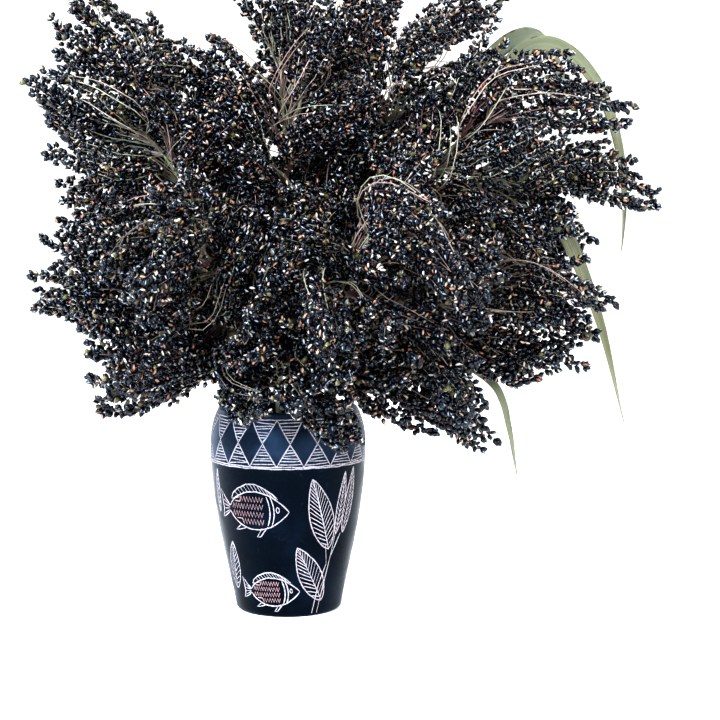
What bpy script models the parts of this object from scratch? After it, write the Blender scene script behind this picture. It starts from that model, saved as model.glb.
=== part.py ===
"""Black sorghum seed heads standing in a turned and carved stone vase.

Metres, +Z up, origin at the centre of the vase's foot, front towards -Y.
Each head is one solid: its culm stands on the vase's floor, its rachis arches out
over the rim, and the sprays on the rachis are covered with seeds, larger than life.
"""

import math
import random

import bmesh
import bpy
import numpy as np

# Vase: a thick-walled turned stone tumbler with a soft shoulder
VASE_HEIGHT = 0.137
VASE_FOOT_RADIUS = 0.0353
VASE_BELLY_RADIUS = 0.0524
VASE_RIM_RADIUS = 0.0460
VASE_BELLY_HEIGHT = 0.112
VASE_FLARE, VASE_SHOULDER = 1.15, 2.1
VASE_WALL = 0.0075
VASE_FLOOR = 0.014
VASE_EDGE = 0.0015
VASE_SIDES = 40
VASE_OUTER_STEPS = 8
VASE_INNER_STEPS = 3

# Culms: where they stand on the floor and lean on the rim
CULM_RADIUS = 0.0026
CULM_FOOT_RING = 0.0175
CULM_NECK_RING = 0.0290
CULM_LIFT = 0.0004
RACHIS_TIP_RADIUS = 0.0012
RACHIS_SHARE = 0.74
CULM_SIDES = 5
AXIS_POINTS = 41
STEM_STRIDE = 3
ARCH_OUT, ARCH_IN = 0.38, 0.36

# Heads: far tip in millimetres from the origin, and the tip's pitch in degrees
HEADS = (
    ("head_top_centre", (-12, 4, 436), 82),
    ("head_top_left", (-132, 14, 414), 48),
    ("head_left", (-144, -14, 352), 22),
    ("head_low_left", (-112, -50, 230), -26),
    ("head_front_left", (-66, -132, 238), -32),
    ("head_front", (28, -128, 206), -42),
    ("head_front_right", (92, -142, 242), -34),
    ("head_low_right", (168, -62, 208), -36),
    ("head_right", (218, -8, 302), -10),
    ("head_upper_right", (196, -34, 352), 12),
    ("head_top_right", (128, 36, 424), 52),
    ("head_top_back", (48, 72, 422), 66),
    ("head_back_right", (190, 94, 250), -22),
    ("head_back", (24, 164, 238), -32),
    ("head_back_left", (-108, 122, 276), -16),
)
CENTRE_HEAD = "head_top_centre"

# Sprays: the branches of a head, each a tapering club of seeds on a bare stalk
SPRAYS_PER_HEAD = 10
FIRST_SPRAY, LAST_SPRAY = 0.24, 0.74
SPRAY_LENGTH_LOW, SPRAY_LENGTH_HIGH = 0.122, 0.090
SPRAY_ANGLE_LOW, SPRAY_ANGLE_HIGH = 58, 8
SPRAY_DROOP = 9.0
SPRAY_POINTS = 8
LINE_POINTS = 2 * SPRAY_POINTS - 1
BARE_SHARE = 0.25
SPRAY_SIDES = 5
SPRAY_RADIUS = 0.0130
STALK_RADIUS = 0.0013
SEED_RISE, SEED_SINK, SEED_LEAN = 1.22, 0.74, 0.30
GOLDEN_ANGLE = math.radians(137.5)
ANY_WAY = (0.31, 0.17, 0.94)

# Neighbouring heads push each other's sprays aside
CLEARANCE = 0.0012
PUSH_ROUNDS = 480
ROUNDS_PER_SEARCH = 8
NEAR_MARGIN = 0.010
MOST_PUSH = 0.003
FIRM_PUSH = 1.6
STEM_SLACK = 0.0012
SMOOTHING = 0.2
VASE_CLEAR_RADIUS = 0.0560
RANDOM_SEED = 19

# Leaves: dry blades, each given by its head, the share along the axis where it
# leaves the culm, and the points in millimetres that its midrib passes
LEAVES = (
    ("leaf_arched", "head_top_right", 0.24, 0.0068,
     ((124, 34, 322), (154, 38, 372), (184, 36, 379), (214, 34, 347), (229, 32, 292), (228, 30, 240))),
    ("leaf_folded", "head_top_back", 0.24, 0.0068,
     ((120, 52, 352), (162, 50, 388), (186, 46, 364), (190, 44, 326))),
    ("leaf_long", "head_back_right", 0.16, 0.0078,
     ((110, 44, 262), (154, 40, 294), (186, 30, 258), (210, 22, 196), (230, 16, 122))),
    ("leaf_narrow", "head_low_right", 0.14, 0.0040,
     ((84, -20, 176), (132, -26, 158), (146, -28, 126), (152, -30, 92))),
    ("leaf_back_left", "head_back_left", 0.16, 0.0095,
     ((-74, 96, 250), (-120, 150, 296), (-148, 176, 240), (-150, 186, 176))),
)
LEAF_THICKNESS = 0.0009
LEAF_STEPS = 12
SHARP_ANGLE = math.radians(40)
LEAF_GAP = 0.0020
LEAF_FACING = (0.35, -0.9, 0.25)
LEAF_TIP_WIDTH = 0.0006
LEAF_FOLD = 0.12


def unit(v):
    return v / np.linalg.norm(v)


def pitch_direction(vector, pitch):
    """The vector's heading, tilted to this many degrees above the horizon."""
    flat = unit(np.array([vector[0], vector[1], 0.0]) + 1e-9)
    angle = math.radians(pitch)
    return flat * math.cos(angle) + np.array([0, 0, math.sin(angle)])


def bezier(p0, p1, p2, p3, u):
    u = np.asarray(u)[:, None]
    v = 1 - u
    return v**3 * p0 + 3 * v**2 * u * p1 + 3 * v * u**2 * p2 + u**3 * p3


def smooth_through(points, count):
    """Evenly numbered points of a Catmull-Rom curve through the given ones."""
    p = np.array(points, float)
    p = np.vstack([2 * p[0] - p[1], p, 2 * p[-1] - p[-2]])
    out = []
    for u in np.linspace(0, len(points) - 1, count):
        i = min(int(u), len(points) - 2)
        t = u - i
        a, b, c, d = p[i : i + 4]
        out.append(
            0.5 * (2 * b + (c - a) * t + (2 * a - 5 * b + 4 * c - d) * t**2
                   + (3 * b - a - 3 * c + d) * t**3)
        )
    return np.array(out)


def slots_round_the_mouth():
    """Each head's angle round the vase's mouth: evenly spaced, in order of heading."""
    outer = [h for h in HEADS if h[0] != CENTRE_HEAD]
    heading = {n: math.atan2(tip[1], tip[0]) for n, tip, _ in outer}
    order = sorted(heading, key=heading.get)
    step = 2 * math.pi / len(order)
    even = [i * step for i in range(len(order))]
    shift = np.angle(np.mean([np.exp(1j * (heading[n] - a)) for n, a in zip(order, even)]))
    slots = {n: a + shift for n, a in zip(order, even)}
    slots[CENTRE_HEAD] = 0.0
    return slots


def culm_points(name, slot):
    """Foot on the vase's floor, and neck in the mouth, of one head's culm."""
    inner = name == CENTRE_HEAD
    out = np.array([math.cos(slot), math.sin(slot), 0.0])
    foot = out * (0.0 if inner else CULM_FOOT_RING)
    neck = out * (0.0 if inner else CULM_NECK_RING)
    foot[2] = VASE_FLOOR + CULM_LIFT
    neck[2] = VASE_HEIGHT
    return foot, neck


def head_axis(name, tip, pitch, slot):
    """The curve from the mouth to the head's far tip."""
    foot, neck = culm_points(name, slot)
    tip = np.array(tip) / 1000
    reach = np.linalg.norm(tip - neck)
    start = neck + unit(neck - foot) * reach * ARCH_OUT
    end = tip - pitch_direction(tip - neck, pitch) * reach * ARCH_IN
    return bezier(neck, start, end, tip, np.linspace(0, 1, AXIS_POINTS))


def tangents(line):
    t = np.gradient(line, axis=0)
    return t / np.linalg.norm(t, axis=1)[:, None]


def head_sprays(axis, rng):
    """The sprays of one head: a list of lines, the lowest first and the leader last."""
    along = tangents(axis)
    last = len(axis) - 1
    turn = rng.uniform(0, 2 * math.pi)
    lines = []
    for i in range(SPRAYS_PER_HEAD):
        share = i / (SPRAYS_PER_HEAD - 1)
        at = round((FIRST_SPRAY + (LAST_SPRAY - FIRST_SPRAY) * share) * last)
        angle = math.radians(SPRAY_ANGLE_LOW + (SPRAY_ANGLE_HIGH - SPRAY_ANGLE_LOW) * share)
        length = SPRAY_LENGTH_LOW + (SPRAY_LENGTH_HIGH - SPRAY_LENGTH_LOW) * share
        length *= rng.uniform(0.92, 1.08)
        turn += GOLDEN_ANGLE + rng.uniform(-0.25, 0.25)
        t = along[at]
        side = unit(np.cross(t, ANY_WAY))
        out = side * math.cos(turn) + np.cross(t, side) * math.sin(turn)
        direction = t * math.cos(angle) + out * math.sin(angle)
        lines.append(drooping_line(axis[at], direction, length))
    return lines


def drooping_line(root, direction, length):
    """A line that sets out in a direction and sags more and more under its own weight."""
    step = length / (LINE_POINTS - 1)
    points = [np.array(root)]
    for _ in range(LINE_POINTS - 1):
        points.append(points[-1] + direction * step)
        direction = unit(direction + np.array([0, 0, -SPRAY_DROOP * step]))
    return np.array(points)


def spray_radii(count):
    """Radius of a spray at each of its points: a bare stalk, then a club of seeds."""
    u = np.linspace(0, 1, count)
    club = SPRAY_RADIUS * (0.30 + 0.70 * np.sin(np.pi * (1 - u) ** 0.8) ** 0.8)
    return np.where(u < BARE_SHARE, STALK_RADIUS, club)


def near_pairs(p, radii, who, others, reach, theirs):
    """Index pairs of points and foreign points that may come to touch within a few rounds."""
    square = (p**2).sum(1)[:, None] + (others**2).sum(1)[None] - 2 * p @ others.T
    near = square < (radii[:, None] + reach[None] + NEAR_MARGIN) ** 2
    return np.nonzero(near & (who[:, None] != theirs[None]))


def crowding(p, radii, others, reach, pairs):
    """How far each point must move to come clear of the others that it is paired with."""
    i, j = pairs
    gap = p[i] - others[j]
    far = np.linalg.norm(gap, axis=1) + 1e-9
    short = np.maximum(radii[i] + reach[j] + CLEARANCE - far, 0)
    move = np.zeros_like(p)
    np.add.at(move, i, gap * (short / far)[:, None])
    return move


def clear_of_vase(p, radii):
    """How far each point must move to come clear of the vase: over its rim or away from its side."""
    ring = np.hypot(p[:, 0], p[:, 1]) + 1e-9
    wall = VASE_CLEAR_RADIUS + radii - ring
    lift = VASE_HEIGHT + radii + CLEARANCE - p[:, 2]
    inside = (wall > 0) & (lift > 0)
    over = inside & (lift < wall)
    past = inside & ~over
    move = np.zeros_like(p)
    move[over, 2] = lift[over]
    move[past, :2] = (p[:, :2] * (wall / ring)[:, None])[past]
    return move


def push_apart(sprays, owner, fixed):
    """Bends the sprays clear of each other, of foreign culms, of the leaves and the vase.

    fixed holds the points, radii and owners of what doesn't give way."""
    lines = np.array(sprays)
    count, points, _ = lines.shape
    radii = np.maximum(spray_radii(points) * SEED_RISE, STALK_RADIUS * 2)
    radii = np.tile(radii, count)
    spray = np.repeat(np.arange(count), points)
    head = np.repeat(owner, points)
    solid, reach, holder = fixed
    steps = np.linalg.norm(np.diff(lines, axis=1), axis=2)
    for turn in range(PUSH_ROUNDS):
        p = lines.reshape(-1, 3)
        if turn % ROUNDS_PER_SEARCH == 0:
            mutual = near_pairs(p, radii, spray, p, radii, spray)
            against = near_pairs(p, radii, head, solid, reach, holder)
        move = 0.5 * crowding(p, radii, p, radii, mutual)
        move += FIRM_PUSH * crowding(p, radii, solid, reach, against) + clear_of_vase(p, radii)
        far = np.linalg.norm(move, axis=1)[:, None]
        move *= np.minimum(1, MOST_PUSH / (far + 1e-9))
        lines = lines + move.reshape(lines.shape) * (np.arange(points) > 0)[None, :, None]
        middle = (lines[:, :-2] + lines[:, 2:]) / 2
        lines[:, 1:-1] += SMOOTHING * (middle - lines[:, 1:-1])
        for k in range(1, points):
            d = lines[:, k] - lines[:, k - 1]
            d /= np.linalg.norm(d, axis=1)[:, None]
            lines[:, k] = lines[:, k - 1] + d * steps[:, k - 1, None]
    return lines


def frames(line):
    """Side and up vectors along a line, carried along it without twisting."""
    t = tangents(line)
    side = unit(np.cross(t[0], ANY_WAY))
    sides = []
    for direction in t:
        side = unit(side - direction * (side @ direction))
        sides.append(side)
    sides = np.array(sides)
    return t, sides, np.cross(t, sides)


def mesh_object(name, verts, faces):
    mesh = bpy.data.meshes.new(name)
    mesh.from_pydata([tuple(v) for v in verts], [], faces)
    mesh.update()
    obj = bpy.data.objects.new(name, mesh)
    bpy.context.scene.collection.objects.link(obj)
    return obj


def end_caps(sides, rings):
    last = (rings - 1) * sides
    return [list(range(sides))[::-1], [last + j for j in range(sides)]]


def tube(name, line, radii, sides):
    """A plain closed tube along a line."""
    _, side, up = frames(line)
    verts, faces = [], []
    for p, s, u, r in zip(line, side, up, radii):
        for j in range(sides):
            a = 2 * math.pi * j / sides
            verts.append(p + (s * math.cos(a) + u * math.sin(a)) * r)
    for i in range(len(line) - 1):
        for j in range(sides):
            a, b = i * sides + j, i * sides + (j + 1) % sides
            faces.append([a, b, b + sides, a + sides])
    return mesh_object(name, verts, faces + end_caps(sides, len(line)))


def seeded_spray(name, line, radii):
    """A spray whose surface rises in one blunt seed at every second point."""
    t, side, up = frames(line)
    step = np.linalg.norm(line[1] - line[0])
    sides = SPRAY_SIDES
    bare = int(BARE_SHARE * len(line))
    verts, faces = [], []

    def raised(i, j):
        return i >= bare and (i + j) % 2 == 0

    for i, (p, r) in enumerate(zip(line, radii)):
        for j in range(sides):
            a = 2 * math.pi * j / sides
            out = side[i] * math.cos(a) + up[i] * math.sin(a)
            if i < bare:
                verts.append(p + out * r)
            elif raised(i, j):
                verts.append(p + out * r * SEED_RISE + t[i] * step * SEED_LEAN)
            else:
                verts.append(p + out * r * SEED_SINK)
    for i in range(len(line) - 1):
        for j in range(sides):
            k = (j + 1) % sides
            a, b, c, d = i * sides + j, i * sides + k, (i + 1) * sides + k, (i + 1) * sides + j
            if raised(i, j) or (i < bare and not raised(i + 1, j)):
                faces += [[a, b, d], [b, c, d]]
            else:
                faces += [[a, b, c], [a, c, d]]
    return mesh_object(name, verts, faces + end_caps(sides, len(line)))


def union(base, others):
    """Joins the others into the base object, and removes them."""
    group = bpy.data.collections.new(base.name + "_repeats")
    bpy.context.scene.collection.children.link(group)
    for obj in others:
        group.objects.link(obj)
    join = base.modifiers.new("Join", "BOOLEAN")
    join.operation = "UNION"
    join.solver = "MANIFOLD"
    join.operand_type = "COLLECTION"
    join.collection = group
    graph = bpy.context.evaluated_depsgraph_get()
    joined = bpy.data.meshes.new_from_object(base.evaluated_get(graph))
    base.modifiers.clear()
    base.data = joined
    for obj in others:
        bpy.data.objects.remove(obj)
    bpy.data.collections.remove(group)
    keep_outer_shell(base)
    return base


def shells(bm):
    """The separate closed shells of a mesh, as lists of faces."""
    left = set(bm.faces)
    found = []
    while left:
        stack = [left.pop()]
        shell = []
        while stack:
            face = stack.pop()
            shell.append(face)
            near = {f for e in face.edges for f in e.link_faces} & left
            left -= near
            stack.extend(near)
        found.append(shell)
    return found


def shell_volume(shell):
    total = 0.0
    for face in shell:
        a, *rest = [v.co for v in face.verts]
        total += sum(a.dot(b.cross(c)) for b, c in zip(rest, rest[1:]))
    return total / 6


def keep_outer_shell(obj):
    """Fills the hollows that the union sealed, and drops its loose scraps."""
    bm = bmesh.new()
    bm.from_mesh(obj.data)
    found = sorted(shells(bm), key=shell_volume)
    spare = [face for shell in found[:-1] for face in shell]
    bmesh.ops.delete(bm, geom=spare, context="FACES")
    bm.to_mesh(obj.data)
    bm.free()


def make_head(name, foot, axis, lines):
    """Culm and rachis in one tube, with the sprays fused to it."""
    stop = round(RACHIS_SHARE * (len(axis) - 1)) + 1
    stem = np.vstack([foot, axis[:stop:STEM_STRIDE]])
    radii = np.linspace(CULM_RADIUS, RACHIS_TIP_RADIUS, len(stem))
    head = tube(name, stem, radii, CULM_SIDES)
    radii = spray_radii(SPRAY_POINTS)
    sprays = [seeded_spray(f"{name}_spray_{i}", line[::2], radii) for i, line in enumerate(lines)]
    return union(head, sprays)


def make_leaf(name, line, half_width):
    """A thin arched blade with a shallow midrib fold and a long pointed tip."""
    t, _, _ = frames(line)
    verts, faces = [], []
    for i, p in enumerate(line):
        u = i / (len(line) - 1)
        across = unit(np.cross(t[i], LEAF_FACING))
        lift = np.cross(across, t[i])
        width = half_width * min(1.0, 0.06 + 3.4 * u) * (1 - u**3.0) + LEAF_TIP_WIDTH
        for s, skin in ((-1, 1), (0, 1), (1, 1), (1, -1), (0, -1), (-1, -1)):
            rise = LEAF_FOLD * width * abs(s) + LEAF_THICKNESS / 2 * skin
            verts.append(p + across * s * width + lift * rise)
    for i in range(len(line) - 1):
        for j in range(6):
            a, b = i * 6 + j, i * 6 + (j + 1) % 6
            faces.append([a, a + 6, b + 6, b])
    last = (len(line) - 1) * 6
    faces += [[0, 1, 4, 5], [1, 2, 3, 4]]
    faces += [[last + 5, last + 4, last + 1, last], [last + 4, last + 3, last + 2, last + 1]]
    leaf = mesh_object(name, verts, faces)
    recalculate(leaf)
    shade_round(leaf)
    return leaf


def shade_round(obj):
    obj.data.shade_smooth()
    obj.data.set_sharp_from_angle(angle=SHARP_ANGLE)


def recalculate(obj):
    bm = bmesh.new()
    bm.from_mesh(obj.data)
    bmesh.ops.recalc_face_normals(bm, faces=bm.faces)
    bm.to_mesh(obj.data)
    bm.free()


def vase_radius(z):
    """Outer radius at a height: a flare up to the belly, then a soft shoulder."""
    if z < VASE_BELLY_HEIGHT:
        rise = math.sin(math.pi / 2 * z / VASE_BELLY_HEIGHT) ** VASE_FLARE
        return VASE_FOOT_RADIUS + (VASE_BELLY_RADIUS - VASE_FOOT_RADIUS) * rise
    fall = ((z - VASE_BELLY_HEIGHT) / (VASE_HEIGHT - VASE_BELLY_HEIGHT)) ** VASE_SHOULDER
    return VASE_BELLY_RADIUS - (VASE_BELLY_RADIUS - VASE_RIM_RADIUS) * fall


def make_vase():
    """The turned wall: its section is spun round the Z axis."""
    outer = [(0.0, 0.0), (VASE_FOOT_RADIUS - VASE_EDGE, 0.0)]
    for z in np.linspace(VASE_EDGE, VASE_HEIGHT - VASE_EDGE * 2, VASE_OUTER_STEPS + 1):
        outer.append((vase_radius(z), z))
    rim = VASE_RIM_RADIUS - VASE_EDGE
    inner = [(rim, VASE_HEIGHT), (rim - VASE_WALL / 2, VASE_HEIGHT)]
    for z in np.linspace(VASE_HEIGHT - VASE_EDGE * 2, VASE_FLOOR, VASE_INNER_STEPS + 1):
        inner.append((vase_radius(z) - VASE_WALL, z))
    inner.append((0.0, VASE_FLOOR))
    profile = outer + inner
    verts, faces = [], []
    for r, z in profile[1:-1]:
        for j in range(VASE_SIDES):
            a = 2 * math.pi * j / VASE_SIDES
            verts.append((r * math.cos(a), r * math.sin(a), z))
    rings = len(profile) - 2
    for i in range(rings - 1):
        for j in range(VASE_SIDES):
            a, b = i * VASE_SIDES + j, i * VASE_SIDES + (j + 1) % VASE_SIDES
            faces.append([a, b, b + VASE_SIDES, a + VASE_SIDES])
    vase = mesh_object("vase", verts, faces + end_caps(VASE_SIDES, rings))
    shade_round(vase)
    return vase


def material(name, colour, roughness):
    made = bpy.data.materials.new(name)
    made.use_nodes = True
    shader = made.node_tree.nodes["Principled BSDF"]
    shader.inputs["Base Color"].default_value = (*colour, 1)
    shader.inputs["Roughness"].default_value = roughness
    shader.inputs["Metallic"].default_value = 0.0
    return made


def leaf_lines(axes):
    """Each leaf's midrib, from its culm outwards."""
    lines = {}
    for name, head, share, _, points in LEAVES:
        axis = axes[head]
        at = round(share * (len(axis) - 1))
        along = tangents(axis)[at]
        away = np.array(points[0]) / 1000 - axis[at]
        root = axis[at] + unit(away - along * (away @ along)) * (CULM_RADIUS + LEAF_GAP)
        lines[name] = smooth_through([root, *(np.array(p) / 1000 for p in points)], LEAF_STEPS)
    return lines


def main():
    for obj in list(bpy.data.objects):
        bpy.data.objects.remove(obj)
    stone = material("carved_stone", (0.025, 0.035, 0.055), 0.45)
    seed = material("seed_head", (0.035, 0.030, 0.030), 0.45)
    straw = material("dry_leaf", (0.36, 0.38, 0.22), 0.70)
    make_vase().data.materials.append(stone)

    slots = slots_round_the_mouth()
    feet, axes, sprays, owner = {}, {}, [], []
    rng = random.Random(RANDOM_SEED)
    for i, (name, tip, pitch) in enumerate(HEADS):
        feet[name] = culm_points(name, slots[name])[0]
        axes[name] = head_axis(name, tip, pitch, slots[name])
        sprays += head_sprays(axes[name], rng)
        owner += [i] * SPRAYS_PER_HEAD
    leaves = leaf_lines(axes)

    names = [h[0] for h in HEADS]
    stop = round(RACHIS_SHARE * (AXIS_POINTS - 1)) + 1
    points = [axes[n][:stop] for n in names]
    radii = [np.full(stop, CULM_RADIUS + STEM_SLACK)] * len(names)
    owners = [np.full(stop, i) for i in range(len(names))]
    for name, _, _, half_width, _ in LEAVES:
        line = smooth_through(leaves[name], LEAF_STEPS * 4)
        points.append(line)
        radii.append(np.full(len(line), half_width))
        owners.append(np.full(len(line), -1))
    fixed = (np.vstack(points), np.concatenate(radii), np.concatenate(owners))
    lines = push_apart(sprays, np.array(owner), fixed)
    for i, name in enumerate(names):
        own = lines[i * SPRAYS_PER_HEAD : (i + 1) * SPRAYS_PER_HEAD]
        make_head(name, feet[name], axes[name], own).data.materials.append(seed)
    for name, _, _, half_width, _ in LEAVES:
        make_leaf(name, leaves[name], half_width).data.materials.append(straw)


main()
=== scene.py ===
"""Looks of the black sorghum seed heads in their carved stone vase.

Metres, +Z up, front towards -Y, in the frame of the solids. The layout below is the
same as the solids', so that every string of seeds runs inside the club it stands for.
"""

import math
import random

import bpy
import numpy as np
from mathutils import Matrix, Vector


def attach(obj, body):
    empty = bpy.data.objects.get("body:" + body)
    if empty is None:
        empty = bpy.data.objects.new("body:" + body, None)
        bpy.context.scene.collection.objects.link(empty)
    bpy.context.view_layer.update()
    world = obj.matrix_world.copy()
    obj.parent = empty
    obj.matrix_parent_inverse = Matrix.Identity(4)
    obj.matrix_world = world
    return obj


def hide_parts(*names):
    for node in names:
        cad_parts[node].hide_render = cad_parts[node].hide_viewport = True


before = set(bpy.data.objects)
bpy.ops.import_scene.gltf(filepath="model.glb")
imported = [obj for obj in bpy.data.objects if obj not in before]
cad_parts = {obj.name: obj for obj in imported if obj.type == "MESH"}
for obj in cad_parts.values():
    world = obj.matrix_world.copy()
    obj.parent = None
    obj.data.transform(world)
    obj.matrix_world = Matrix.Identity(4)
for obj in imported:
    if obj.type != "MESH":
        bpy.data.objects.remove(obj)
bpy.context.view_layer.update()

# Vase: a thick-walled turned stone tumbler with a soft shoulder
VASE_HEIGHT = 0.137
VASE_FOOT_RADIUS = 0.0353
VASE_BELLY_RADIUS = 0.0524
VASE_RIM_RADIUS = 0.0460
VASE_BELLY_HEIGHT = 0.112
VASE_FLARE, VASE_SHOULDER = 1.15, 2.1
VASE_WALL = 0.0075
VASE_FLOOR = 0.014
VASE_ROUND = 144
VASE_OUTER_RINGS, VASE_LIP_RINGS, VASE_INNER_RINGS = 46, 7, 12
VASE_AXIS_HOLE = 0.0005
FOOT_CORNER = ((0.0016, 0.0), (0.0006, 0.0003))
VASE_LIP = 0.0022
LIP_SHARE, LIP_START = 0.42, 0.25
LIP_INSIDE = 0.004
SHARP_ANGLE = math.radians(50)

# Culms: where they stand on the floor and lean on the rim
CULM_RADIUS = 0.0026
CULM_FOOT_RING = 0.0175
CULM_NECK_RING = 0.0290
CULM_LIFT = 0.0004
RACHIS_SHARE = 0.74
AXIS_POINTS = 41
RACHIS_LAST = round(RACHIS_SHARE * (AXIS_POINTS - 1))
ARCH_OUT, ARCH_IN = 0.38, 0.36

# Heads: far tip in millimetres from the origin, and the tip's pitch in degrees
HEADS = (
    ("head_top_centre", (-12, 4, 436), 82),
    ("head_top_left", (-132, 14, 414), 48),
    ("head_left", (-144, -14, 352), 22),
    ("head_low_left", (-112, -50, 230), -26),
    ("head_front_left", (-66, -132, 238), -32),
    ("head_front", (28, -128, 206), -42),
    ("head_front_right", (92, -142, 242), -34),
    ("head_low_right", (168, -62, 208), -36),
    ("head_right", (218, -8, 302), -10),
    ("head_upper_right", (196, -34, 352), 12),
    ("head_top_right", (128, 36, 424), 52),
    ("head_top_back", (48, 72, 422), 66),
    ("head_back_right", (190, 94, 250), -22),
    ("head_back", (24, 164, 238), -32),
    ("head_back_left", (-108, 122, 276), -16),
)
CENTRE_HEAD = "head_top_centre"

# Sprays: the branches of a head, each a tapering club of seeds on a bare stalk
SPRAYS_PER_HEAD = 10
SPRAY_SHARES = (0.24, 0.74)
SPRAY_LENGTHS, SPRAY_LENGTH_STRAY = (0.122, 0.090), (0.92, 1.08)
SPRAY_ANGLES, SPRAY_TURN_STRAY = (58, 8), 0.25
SPRAY_DROOP = 9.0
SPRAY_POINTS = 8
LINE_POINTS = 2 * SPRAY_POINTS - 1
BARE_SHARE = 0.25
SPRAY_RADIUS = 0.0130
STALK_RADIUS = 0.0013
SEED_RISE = 1.22
GOLDEN_ANGLE = math.radians(137.5)
ANY_WAY = (0.31, 0.17, 0.94)

# Neighbouring heads push each other's sprays aside
CLEARANCE = 0.0012
PUSH_ROUNDS = 480
ROUNDS_PER_SEARCH = 8
NEAR_MARGIN = 0.010
MOST_PUSH = 0.003
FIRM_PUSH = 1.6
STEM_SLACK = 0.0012
SMOOTHING = 0.2
VASE_CLEAR_RADIUS = 0.0560
RANDOM_SEED = 19

# Leaves: dry blades, each given by its head, the share along the axis where it
# leaves the culm, and the points in millimetres that its midrib passes
LEAVES = (
    ("leaf_arched", "head_top_right", 0.24, 0.0068,
     ((124, 34, 322), (154, 38, 372), (184, 36, 379), (214, 34, 347), (229, 32, 292), (228, 30, 240))),
    ("leaf_folded", "head_top_back", 0.24, 0.0068,
     ((120, 52, 352), (162, 50, 388), (186, 46, 364), (190, 44, 326))),
    ("leaf_long", "head_back_right", 0.16, 0.0078,
     ((110, 44, 262), (154, 40, 294), (186, 30, 258), (210, 22, 196), (230, 16, 122))),
    ("leaf_narrow", "head_low_right", 0.14, 0.0040,
     ((84, -20, 176), (132, -26, 158), (146, -28, 126), (152, -30, 92))),
    ("leaf_back_left", "head_back_left", 0.16, 0.0095,
     ((-74, 96, 250), (-120, 150, 296), (-148, 176, 240), (-150, 186, 176))),
)
LEAF_STEPS = 12
LEAF_GAP = 0.0020
LEAF_FACING = (0.35, -0.9, 0.25)
LEAF_FOLD_DEPTH = 0.18
LEAF_ROWS, LEAF_COLUMNS = 72, 9
LEAF_ROOT, LEAF_SWELL, LEAF_TAPER, LEAF_EDGE = 0.10, 3.2, 2.6, 0.0003
LEAF_TWIST, LEAF_TWIST_TURNS = 0.35, 2.2
LEAF_RIPPLE, LEAF_WAVES, LEAF_WAVE_LAG = 0.0009, 16, 1.5
LEAF_SKIN, LEAF_MIDDLE = 0.00014, 1.15

# Each blade's breadth against the solid's, and its tone from green to pale
BLADES = {
    "leaf_arched": (0.88, 0.5),
    "leaf_folded": (0.95, 0.8),
    "leaf_long": (1.35, 0.15),
    "leaf_narrow": (0.88, 0.8),
    "leaf_back_left": (0.88, 0.4),
}

# Strings: the fine branches that run together through a spray, with seeds on all sides
CENTRE_POINTS = 29
STRINGS = 7
STRING_POINTS = 13
STRING_ENDS = (0.76, 1.0)
STRING_END_STRAY = (-0.03, 0.02)
STRING_SPREAD = (0.35, 1.20)
STRING_BUNCH = 0.0012
STRING_RADIUS = (0.00046, 0.00022)
STRING_SAG, STRING_SAG_POWER = 0.004, 3
STRING_TWIST = 0.6
STRING_WOBBLE = 0.0005
STRING_TONE_STRAY = 0.2
SPREAD_START, SPREAD_SPAN = 0.08, 0.50
SPREAD_FIRST, SPREAD_SCALE = 0.2, 0.6
GOLDEN_SHARE = 0.618
STONE_GAP = 0.004

# Sprays that the solids leave out: between the clubs, round the crowns, over the rim
FILL_STRINGS = 5
FILL_SPREAD = (0.35, 0.90)
BETWEEN_SPRAYS = 3
BETWEEN_GAP = 0.042
CROWN_HEADS = ("head_top_left", "head_top_centre", "head_top_right", "head_upper_right", "head_top_back")
CROWN_SPRAYS = (0.5, 0.65, 0.8)
CROWN_LENGTH, CROWN_LENGTHS = 0.105, (0.85, 1.1)
CROWN_LIFT = (0, 0, 0.6)
CROWN_FORWARD, CROWN_OUT = 0.8, 0.6
MOUTH_SPRAYS = (0.12, 0.16, 0.21, 0.27)
MOUTH_LENGTH, MOUTH_LENGTHS = 0.078, (0.85, 1.15)
MOUTH_RISE, MOUTH_RISES = 0.55, (0.4, 1.4)
MOUTH_STRAY = 0.7

# Strands: bare stalks that arch over the mass
STRANDS = 3
STRAND_POINTS = 10
STRAND_ENDS = (0.6, 0.95)
STRAND_REACH = (0.012, 0.022)
STRAND_RADIUS = (0.00050, 0.00030)
STRAND_TONE = (0.25, 0.85)
STRAND_TWIST, STRAND_STRAY = 0.5, 0.5
STRAND_RISE, STRAND_FULLNESS = 0.8, 0.9
OUTWARD = (1, 1, 0.3)

# Seeds: in whorls, on short seats, the first of each whorl on a twig
SEEDS_START = (0.22, 0.44)
NODE_SPACING, NODE_CLOSING = (0.0064, 0.0040), 1.6
NODE_STRAY = 0.001
WHORL_TURN, WHORL_STRAY = 2.1, 0.4
TWIG_LENGTH = (0.0006, 0.0042)
SEAT_LENGTH = (0.0003, 0.0016)
TIP_SHORTENING = 0.5
TWIG_SHOWN = 0.0022
TWIG_RADIUS, TWIG_TAPER = 0.00020, 0.7
SEEDS_PER_NODE = 4
LAST_SEED_SHARE = 0.3
SEED_LENGTH, SEED_WIDTH = 0.0051, 0.0041
SEED_SIZES = (0.86, 1.12)
SEED_LEANS, TIP_LEAN = (30, 62), 0.2
SEED_STRAY = 0.22
SEED_STAGGER = 0.0009
SEED_SIDES = 4
SEED_FLATNESS = 0.86

# Height and breadth of a seed's rings: two on the outside of the mass, one inside it
SEED_RINGS = ((0.27, 0.86), (0.68, 0.82))
PLAIN_RINGS = ((0.46, 1.04),)
MASS_CENTRE, MASS_HALF = (0.035, 0.0, 0.295), (0.215, 0.190, 0.160)
DETAIL_FROM = 0.88
CULM_TRUE_RADIUS = (0.0021, 0.0008)
CULM_POINTS, CULM_ROUND = 44, 8
CULM_TONE = (0.35, 0.6)
LOOKS_SEED = 11

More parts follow.
